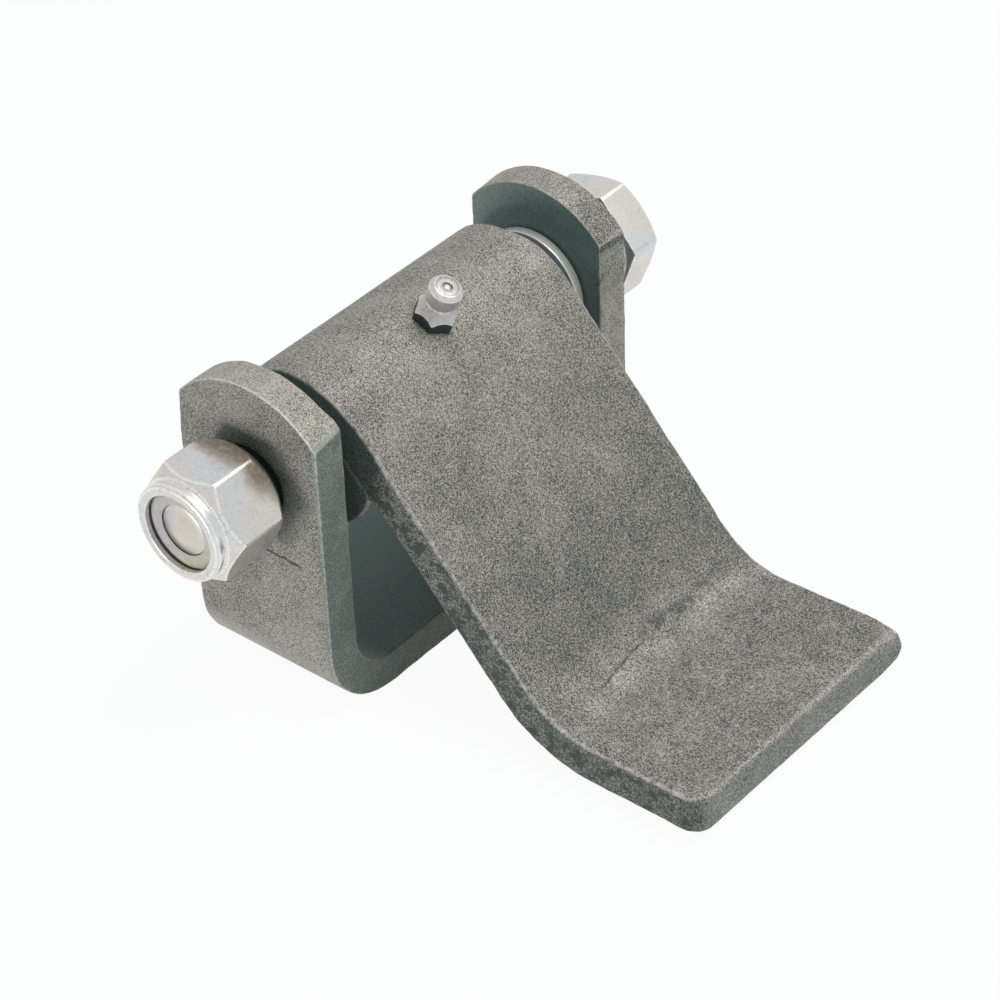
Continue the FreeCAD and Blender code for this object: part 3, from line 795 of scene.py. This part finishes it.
def zinc_material(name, colours, lines=(1, 1, 1), roughness=0, shade=1, tilt=0, metal=0.85, stain=None,
                  band=None, flanks=None):
    """Zinc plating, darker by shade, its lines turned by tilt about Y. stain is the range of y and the range
    of z over which a brown film sets in. band is the pair of y between which the plating is darkened with
    painted shade. flanks is (direction, start, end): along that direction, the side faces get painted shade
    below the start, and the top is painted darker to tone down the lamp's reflection."""
    material, shader, place = started(name)
    plating = add(place.id_data, "ShaderNodeGroup", {
        "Place": mapped(place, Rotation=(0, tilt, 0)), "Edge": mask(place, "edge"), "Lines": lines,
        "Zinc": (*(shade * v for v in colours.zinc), 1)}, node_tree=zinc_group())
    tone, rough, height = plating.outputs
    at = measured(place) if stain or band else {}
    if stain:
        reach = plus(at["y"], swing(place, 300, 1.6 * MM))
        film = times(spread(reach, *stain[0]), spread(at["z"], *stain[1]),
                     mottle(place, 1100, 3, 0.6, 0.3, 0.55, 0.55, 0.92))
        tone, rough = blend(film, tone, colours.stain), maths("MULTIPLY_ADD", film, 0.25, rough)
    # Painted shade across the band, where the bolt shows between the nut and the ear
    if band:
        low, high = band
        painted_shade = times(spread(at["y"], low - 0.2 * MM, low), spread(at["y"], high, high + 0.2 * MM, 1, 0))
        tone, rough = blend(painted_shade, tone, BOLT_GAP_SHADE), maths("MULTIPLY_ADD", painted_shade, 0.4, rough)
    # Painted shade on the side faces near the foot, and a painted darker top against the lamp's reflection
    if flanks:
        axis, start, end = flanks
        tree, fields = place.id_data, (place.node.outputs["Normal"], place)
        level, up = (
            add(tree, "ShaderNodeVectorMath", {0: field, 1: axis}, operation="DOT_PRODUCT").outputs[1]
            for field in fields)
        painted_shade = times(spread(level, 0.15, 0.40, 0.9, 0), spread(up, start, end, 1, 0))
        tone = blend(spread(level, 0.90, 0.97, 0, 0.8), blend(painted_shade, tone, FITTING_FOOT_SHADE), BUTTON_TOP_PAINTED_DIM)
    coat(shader, tone, plus(rough, roughness), metal, height, 0.00002, 0.35)
    return material


def nylon_material(colours):
    """Matt nylon with a faint mottle, browner to one side."""
    material, shader, place = started("Nylon ring")
    at = measured(place)
    faint = mottle(place, 700, 4, 0.6, 0.3, 0.7)
    aged = spread(minus(at["x"], minus(at["z"], PIVOT[2])), -2 * MM, 11 * MM)
    film = blend(faint, (0.82, 0.82, 0.82), (1, 1, 1))
    tone = blend(1, blend(aged, colours.nylon, AGED_NYLON), film, "MULTIPLY")
    coat(shader, tone, spread(faint, 0, 1, 0.5, 0.62), 0, faint, 0.00002, 0.4)
    return material


def sleeve_material(colours):
    """Drawn steel sleeve with a film of grease: darker and smoother than the plates."""
    material, shader, place = started("Drawn sleeve")
    drawn = mottle(mapped(place, Scale=(1, 0.08, 1)), 900, 3, 0.6, 0.3, 0.7)
    tone = blend(drawn, [0.8 * v for v in colours.steel_dark], [0.55 * v for v in colours.steel_pale])
    coat(shader, tone, spread(drawn, 0, 1, 0.30, 0.42), 0.6, drawn, 0.00003, 0.4)
    return material


def ball_material(colours):
    """Polished bearing ball with a trace of grease."""
    material, shader, place = started("Bearing ball")
    film = mottle(place, 1600, 3, 0.6, 0.35, 0.7)
    tone = blend(film, colours.zinc, [0.85 * v for v in colours.zinc])
    coat(shader, tone, spread(film, 0, 1, 0.12, 0.26), 1)
    return material


def floor_material(colours, glow=0.95):
    """Plain floor: the camera and mirror rays also see part of its white as light, others only its colour."""
    material = bpy.data.materials.new("Floor")
    material.use_nodes = True
    tree = material.node_tree
    tree.nodes.remove(tree.nodes["Principled BSDF"])
    sheet = add(tree, "ShaderNodeBsdfDiffuse", {"Color": (*colours.floor, 1)})
    light = add(tree, "ShaderNodeEmission", {"Color": (1, 1, 1, 1), "Strength": 1})
    rays = tree.nodes.new("ShaderNodeLightPath").outputs
    share = times(strongest(rays["Is Camera Ray"], rays["Is Glossy Ray"]), glow)
    mixed = add(tree, "ShaderNodeMixShader", {0: share, 1: sheet.outputs[0], 2: light.outputs[0]})
    tree.links.new(mixed.outputs[0], tree.nodes["Material Output"].inputs["Surface"])
    return material


def dress(piece, material, slot, *nodes):
    """Gives a piece its material and lets it stand for its CAD nodes, which are hidden. The slot is not used.
    """
    piece.data.materials.clear()
    piece.data.materials.append(material)
    if nodes:
        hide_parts(*nodes)


# Operators, one for each piece or group of like pieces

class HINGE_OT_strap(bpy.types.Operator):
    """Make the strap: one plate with a rolled eye, a run, a bend and a pad"""
    bl_idname = "hinge.strap"
    bl_label = "Strap"

    def execute(self, context):
        plates, colours = context.scene.hinge_plates, context.scene.hinge_colours
        tip, bend, pad, end, _ = strap_path(plates)
        tip_corner, corners = 1.3 * MM, (plates.pad_corner, plates.pad_far_corner)
        stations = np.concatenate([np.arange(tip + tip_corner, 0, 1 * MM),
                                   np.arange(0, bend - 0.5 * MM, 1.3 * MM), np.arange(bend, pad, 0.42 * MM),
                                   spaced(pad, end - corners[0], 1.2 * MM, 0.5 * MM)])
        columns = spaced(-1, 1, 1.3 / 27, 0.35 / 27)

        def outline(inset):
            half_width = plates.strap_width / 2
            return strap_outline(inset, half_width, tip, end, corners, tip_corner, stations, columns)

        def place(*spots):
            return strap_place(*spots, plates)

        piece = plate_shell("strap_plate", outline, plates.strap_thickness / 2, plates.strap_edge, [], place,
                            "strap", 0.35, 6)
        dent(piece, plates.dents, 7 * MM, 11)
        # Strap steel with painted shade in its shade tint on the side walls and near the eye
        steel = steel_material("Strap steel", colours, strap_marks, STRAP_SHADE_TINT, patches=0.15, wear=0.85,
                               sides=0.15, scale=0.85, cool=0.12)
        dress(piece, steel, "strap_steel", "strap")
        return {"FINISHED"}


class HINGE_OT_bracket(bpy.types.Operator):
    """Make the bracket: a bar bent to a U with two arched, drilled ears"""
    bl_idname = "hinge.bracket"
    bl_label = "Bracket"

    def execute(self, context):
        plates, colours = context.scene.hinge_plates, context.scene.hinge_colours
        _, base, ear, floor = bracket_path(plates)
        bolt = ear + PIVOT[2] - floor
        half_width = plates.bracket_width / 2
        arch = ear_arch(half_width, bolt + plates.ear_shoulder, bolt + plates.ear_crown, plates.ear_corner)
        upper = np.concatenate([np.arange(0, base, 1.4 * MM), np.arange(base, ear, 0.8 * MM),
                                spaced(ear, arch[2], 1.1 * MM, 0.5 * MM)])
        stations = np.concatenate([-upper[::-1][:-1], upper])
        columns = spaced(-1, 1, 1.1 / 15, 0.3 / 15)

        def outline(inset):
            return bracket_outline(inset, half_width, arch, plates.ear_corner, stations, columns)

        def place(*spots):
            return bracket_place(*spots, plates)

        hole = context.scene.hinge_fasteners.bolt_diameter / 2 + 0.25 * MM
        holes = [(np.array([bolt, 0]), hole), (np.array([-bolt, 0]), hole)]
        piece = plate_shell("bracket_bar", outline, plates.bracket_thickness / 2, plates.bracket_edge, holes,
                            place, "bracket", -0.7)
        dent(piece, plates.dents * 0.7, 6 * MM, 23)
        # Bracket steel with painted shade in its shade tint on the inner faces and the fronts
        steel = steel_material("Bracket steel", colours, bracket_marks, BRACKET_SHADE_TINT, patches=0.18, wear=1,
                               sides=0.22, scale=0.2, cool=0)
        dress(piece, steel, "bracket_steel", "bracket")
        return {"FINISHED"}


class HINGE_OT_bolt(bpy.types.Operator):
    """Make the bolt: hexagon head, plain shank and rolled thread"""
    bl_idname = "hinge.bolt"
    bl_label = "Hinge bolt"

    def execute(self, context):
        sizes, sides = context.scene.hinge_fasteners, 120
        radius, pitch = sizes.bolt_diameter / 2, sizes.thread_pitch
        tip_flat = radius - 2.1 * MM
        turn = 2 * np.pi * np.arange(sides) / sides
        at = np.arange(0, sizes.thread_length, pitch / 10)[:, None]
        phase = (at / pitch - turn / (2 * np.pi)) % 1
        ridge = np.clip(1.35 * (1 - np.abs(2 * phase - 1)) - 0.15, 0, 1)
        depth = 0.6 * pitch * smoothstep(at, sizes.thread_length, sizes.thread_length - 2 * pitch)
        threaded = np.minimum(radius - 0.02 * MM - depth * (1 - ridge), tip_flat + at * 1.3)
        screw = np.stack([threaded, np.broadcast_to(BOLT_TIP + at, threaded.shape)], -1)
        tip = profile_of([(0, BOLT_TIP), (tip_flat * 0.6, BOLT_TIP)], sides)
        hexagon, half = hexagon_radius(sizes.head_flats, sides), sizes.head_flats / 2
        face, cone = half * 0.93, half * 0.96
        seat = HEAD_TOP - sizes.head_height
        lip = seat + 0.4 * MM
        drop = (hexagon - cone) * math.tan(math.radians(30))
        points = [(radius, BOLT_TIP + sizes.thread_length), (radius, seat), (face, seat), (face, lip),
                  (hexagon, lip), (hexagon, HEAD_TOP - drop), (cone, HEAD_TOP), (cone * 0.5, HEAD_TOP),
                  (0, HEAD_TOP)]
        head, edge = ease(profile_of(points, sides), [0, 0.5, 0.2, 0.1, 0.35, 0.35, 0.5, 0, 0])
        profile = np.concatenate([tip, screw, head])
        edge = np.concatenate([np.zeros(len(tip) + len(screw)), edge])
        piece = swept_rows("hex_bolt", profile, edge, ALONG_BOLT, (0, 0, PIVOT[2]), "bracket",
                           math.radians(-10.5), cut_angle=60)
        # The band is painted shade on the bolt in the gap between the nut and the ear
        dress(piece, zinc_material("Bolt zinc", context.scene.hinge_colours, (1, 6, 1), 0.05,
                                   band=(NUT_SEAT, NUT_SEAT + 9 * MM)), "bolt_zinc", "hinge_bolt")
        return {"FINISHED"}


class HINGE_OT_nut(bpy.types.Operator):
    """Make the lock nut and its nylon ring"""
    bl_idname = "hinge.nut"
    bl_label = "Lock nut"

    def execute(self, context):
        sizes, colours = context.scene.hinge_fasteners, context.scene.hinge_colours
        sides, way, seat = 144, (0, -1, 0), (0, NUT_SEAT, PIVOT[2])
        bore = sizes.bolt_diameter / 2 + 0.03 * MM
        hexagon = hexagon_radius(sizes.nut_flats, sides)
        cone = sizes.nut_flats / 2 * 0.94
        drop = hexagon - cone
        crown, top, hex_top = sizes.crown_radius, sizes.nut_height, sizes.nut_hex
        mouth, pocket = crown - 2.1 * MM, crown - 1.5 * MM
        ledge, floor = top - 1.1 * MM, top - 4.7 * MM
        points = [(bore + 0.8 * MM, 0), (cone, 0), (hexagon, drop), (hexagon, hex_top - drop),
                  (cone, hex_top), (crown - 0.45 * MM, hex_top + 0.25 * MM),
                  (crown - 0.1 * MM, hex_top + 0.7 * MM), (crown, top - 0.6 * MM), (crown - 0.5 * MM, top),
                  (mouth, top - 0.1 * MM), (mouth, ledge), (pocket, ledge), (pocket, floor), (bore, floor),
                  (bore, 0.8 * MM)]
        radii = [0.2, 0.4, 0.35, 0.35, 0.3, 0.3, 0.3, 0.45, 0.4, 0.25, 0.1, 0, 0, 0, 0.2]
        piece = turned_ring("crown_nut", points, radii, way, seat, "bracket", sides, math.radians(1), 60)
        stain = (-53.5 * MM, -50 * MM), (PIVOT[2] + 3 * MM, PIVOT[2] + 8 * MM)
        dress(piece, zinc_material("Nut zinc", colours, (1, 5, 1), stain=stain), "nut_zinc", "lock_nut")
        low, high = floor + 0.02 * MM, ledge - 0.02 * MM
        reached = NUT_SEAT - BOLT_TIP + 0.05 * MM
        outer, tight = pocket - 0.02 * MM, sizes.bolt_diameter / 2 - 1.9 * MM
        points = [(bore, low), (outer, low), (outer, high - 0.9 * MM), ((outer + tight) / 2, high),
                  (tight, high - 0.5 * MM), (tight, reached), (bore, reached)]
        ring = turned_ring("nylon_ring", points, [0, 0, 0.3, 1, 0.3, 0.2, 0], way, seat, "bracket")
        dress(ring, nylon_material(colours), "nylon", "lock_nut_insert")
        return {"FINISHED"}


class HINGE_OT_washers(bpy.types.Operator):
    """Make the two thrust washers and the sleeve in the eye"""
    bl_idname = "hinge.washers"
    bl_label = "Washers and sleeve"

    def execute(self, context):
        colours = context.scene.hinge_colours
        plated = zinc_material("Washer zinc", colours, roughness=0.1, shade=1.2, metal=0.4)
        for node in ("near_washer", "far_washer"):
            low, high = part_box(node)
            bore, height = high[0] - 4.2 * MM, (low[2] + high[2]) / 2
            disc = self.ring(node + "_disc", node, bore, height, 0.15, 0.3, "bracket", 128)
            dress(disc, plated, "washer_zinc", node)
        sleeve = self.ring("eye_sleeve", "eye_bushing", 7.06 * MM, PIVOT[2], 0.2, 0.25, "strap", 96)
        dress(sleeve, sleeve_material(colours), "bushing_steel", "eye_bushing")
        return {"FINISHED"}

    def ring(self, name, node, bore, height, inside, outside, body, sides):
        """A plain ring with the outside and length of its CAD node, at a height above the base."""
        low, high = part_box(node)
        outer, span = (high[0] - low[0]) / 2, high[1] - low[1]
        return turned_ring(name, [(bore, 0), (outer, 0), (outer, span), (bore, span)],
                           [inside, outside, outside, inside], ALONG_BOLT, (0, low[1], height), body, sides)


class HINGE_OT_fitting(bpy.types.Operator):
    """Make the grease fitting with its check ball and spring"""
    bl_idname = "hinge.fitting"
    bl_label = "Grease fitting"

    def execute(self, context):
        scene = context.scene
        sizes, plates, colours = scene.hinge_fasteners, scene.hinge_plates, scene.hinge_colours
        axis = -np.array(joint("ball_slide")["axis"], float)
        ball_low, ball_high = np.array(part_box("fitting_ball"))
        centre, ball = (ball_low + ball_high) / 2, (ball_high[2] - ball_low[2]) / 2
        foot = np.array([0, centre[1], PIVOT[2]])
        eye = plates.eye_bore / 2 + plates.strap_thickness
        top, root, under = eye + sizes.fitting_height, eye - 6 * MM, eye - 0.9 * MM
        hexagon = hexagon_radius(sizes.fitting_flats, 96, 60)
        neck, head, low = 2.4 * MM, sizes.fitting_head / 2, top - 3.9 * MM
        shoulder, reach = eye + 1.45 * MM, sizes.fitting_flats / math.sqrt(3)
        cone, neck_at = (shoulder + (reach - radius) * 1.5 for radius in (hexagon, neck))
        points = [(0.75 * MM, root), (2.6 * MM, root), (3 * MM, root + 0.4 * MM), (3 * MM, under),
                  (hexagon, under), (hexagon, cone), (neck, neck_at), (neck, low - 0.35 * MM),
                  (head - 0.3 * MM, low), (head, low + 0.3 * MM), (head, top - 0.9 * MM),
                  (head - 0.85 * MM, top - 0.15 * MM), (1.7 * MM, top), (1 * MM, top),
                  (1 * MM, top - 0.5 * MM), (1.35 * MM, top - 0.85 * MM), (1.35 * MM, root + 1.2 * MM),
                  (0.75 * MM, root + 1.2 * MM)]
        radii = [0, 0, 0, 0, 0, 0.22, 0.5, 0.3, 0.2, 0.2, 0.15, 0.15, 0.2, 0.06, 0.06, 0, 0, 0]
        body = turned_ring("fitting_body", points, radii, axis, foot, "strap", cut_angle=55)
        level = float(np.dot(foot, axis)) + low
        # flanks places the fitting's painted shade near its foot and its painted darker top
        tilt, flanks = -math.atan2(axis[0], axis[2]), (tuple(axis), level - 0.5 * MM, level - 0.1 * MM)
        material = zinc_material("Fitting zinc", colours, (0.06, 0.06, 4), 0.28, 0.75, tilt, flanks=flanks)
        dress(body, material, "fitting_zinc", "grease_fitting")
        turns = np.linspace(-math.pi / 2, math.pi / 2, 25)
        profile = profile_of([(ball * math.cos(t), ball * math.sin(t)) for t in turns], 48)
        steel = swept_rows("check_ball_steel", profile, 0 * turns, axis, centre, "check_ball")
        dress(steel, ball_material(colours), "ball_steel", "fitting_ball")
        wire = frame["nodes"]["fitting_spring"].data.materials
        wire.clear()
        wire.append(zinc_material("Spring wire", colours, roughness=0.02))
        return {"FINISHED"}


class HINGE_OT_stage(bpy.types.Operator):
    """Set the camera, the floor, the lamps and the light from all round"""
    bl_idname = "hinge.stage"
    bl_label = "Stage"

    def execute(self, context):
        scene = context.scene
        stage, colours = scene.hinge_stage, scene.hinge_colours
        scene.view_settings.view_transform = "Standard"
        az, el, roll = stage.azimuth, stage.elevation, stage.roll
        back = Vector((math.sin(az) * math.cos(el), -math.cos(az) * math.cos(el), math.sin(el)))
        right = Vector((0, 0, 1)).cross(back).normalized()
        up = back.cross(right)
        across = right * math.cos(roll) + up * math.sin(roll)
        upright = up * math.cos(roll) - right * math.sin(roll)
        lens = bpy.data.cameras.new("Camera")
        lens.lens, lens.sensor_width, lens.sensor_fit = stage.lens, 36, "HORIZONTAL"
        lens.clip_start, lens.clip_end = 0.01, 20
        camera = bpy.data.objects.new("Camera", lens)
        camera.matrix_world = Matrix((across, upright, back)).transposed().to_4x4()
        x, y, z = stage.offset
        camera.location = Vector(PIVOT) - across * x - upright * y - back * z
        scene.collection.objects.link(camera)
        scene.camera = camera
        self.floor(colours)
        self.lamp(scene, "Overhead lamp", (0.38, 0.30, 1.15), 0.80, stage.key, (1, 0.965, 0.93))
        self.lamp(scene, "Low lamp", (-0.05, -0.56, 0.012), 0.16, stage.fill, (1, 0.98, 0.96))
        self.sky(scene, stage)
        return {"FINISHED"}

    def floor(self, colours, radius=3, drop=0.0001):
        """A flat disc just under the hinge and well past the view, worked out as rings about the origin."""
        rings, sides = np.linspace(0, radius, 12), 64
        turn = 2 * np.pi * np.arange(sides) / sides
        points = np.stack([rings[:, None] * np.cos(turn), rings[:, None] * np.sin(turn),
                           np.full((len(rings), sides), -drop)], -1)
        sheet = shell("Floor", points.reshape(-1, 3), grid_faces(len(rings), sides, True))
        sheet.data.materials.append(floor_material(colours))

    def lamp(self, scene, name, spot, size, power, tint):
        """A round lamp at a spot, turned to the hinge."""
        light = bpy.data.lights.new(name, "AREA")
        light.shape, light.size, light.energy, light.color = "DISK", size, power, tint
        lamp = bpy.data.objects.new(name, light)
        lamp.location = spot
        lamp.rotation_euler = (Vector((0.02, 0, 0.03)) - Vector(spot)).to_track_quat("-Z", "Y").to_euler()
        scene.collection.objects.link(lamp)

    def sky(self, scene, stage):
        """White for the camera, nearly white for mirror rays, and a cool dimmer light for the rest."""
        world = bpy.data.worlds.new("Studio")
        scene.world = world
        world.use_nodes = True
        tree = world.node_tree
        tree.nodes.clear()
        rays = tree.nodes.new("ShaderNodeLightPath").outputs
        mirror, white, dim = (
            add(tree, "ShaderNodeBackground", {"Color": tint, "Strength": strength}).outputs[0]
            for tint, strength in (((0.97, 0.985, 1, 1), 0.85), ((1, 1, 1, 1), 1),
                                   ((0.55, 0.98, 1.02, 1), stage.sky)))
        seen = strongest(rays["Is Camera Ray"], rays["Is Transmission Ray"])
        soft = add(tree, "ShaderNodeMixShader", {0: rays["Is Glossy Ray"], 1: dim, 2: mirror})
        both = add(tree, "ShaderNodeMixShader", {0: seen, 1: soft.outputs[0], 2: white})
        add(tree, "ShaderNodeOutputWorld", {"Surface": both.outputs[0]})


OPERATORS = (HINGE_OT_stage, HINGE_OT_bracket, HINGE_OT_strap, HINGE_OT_bolt, HINGE_OT_nut, HINGE_OT_washers,
             HINGE_OT_fitting)
GROUPS = {"hinge_plates": HingePlates, "hinge_fasteners": HingeFasteners, "hinge_colours": HingeColours,
          "hinge_stage": HingeStage}


class HINGE_PT_sidebar(bpy.types.Panel):
    """Sizes, colours and makers of the strap hinge"""
    bl_idname = "HINGE_PT_sidebar"
    bl_label = "Strap hinge"
    bl_space_type = "VIEW_3D"
    bl_region_type = "UI"
    bl_category = "Strap hinge"

    def draw(self, context):
        layout = self.layout
        for kind in OPERATORS:
            layout.operator(kind.bl_idname)
        for name, kind in GROUPS.items():
            box = layout.box()
            for key in kind.__annotations__:
                box.prop(getattr(context.scene, name), key)


def register():
    for kind in (*GROUPS.values(), *OPERATORS, HINGE_PT_sidebar):
        bpy.utils.register_class(kind)
    for name, kind in GROUPS.items():
        setattr(bpy.types.Scene, name, PointerProperty(type=kind))


def unregister():
    for name in GROUPS:
        delattr(bpy.types.Scene, name)
    for kind in (HINGE_PT_sidebar, *OPERATORS[::-1], *list(GROUPS.values())[::-1]):
        bpy.utils.unregister_class(kind)


def main():
    register()
    bpy.ops.hinge.stage()
    bpy.ops.hinge.bracket()
    bpy.ops.hinge.strap()
    bpy.ops.hinge.bolt()
    bpy.ops.hinge.nut()
    bpy.ops.hinge.washers()
    bpy.ops.hinge.fitting()


if __name__ == "__main__":
    main()
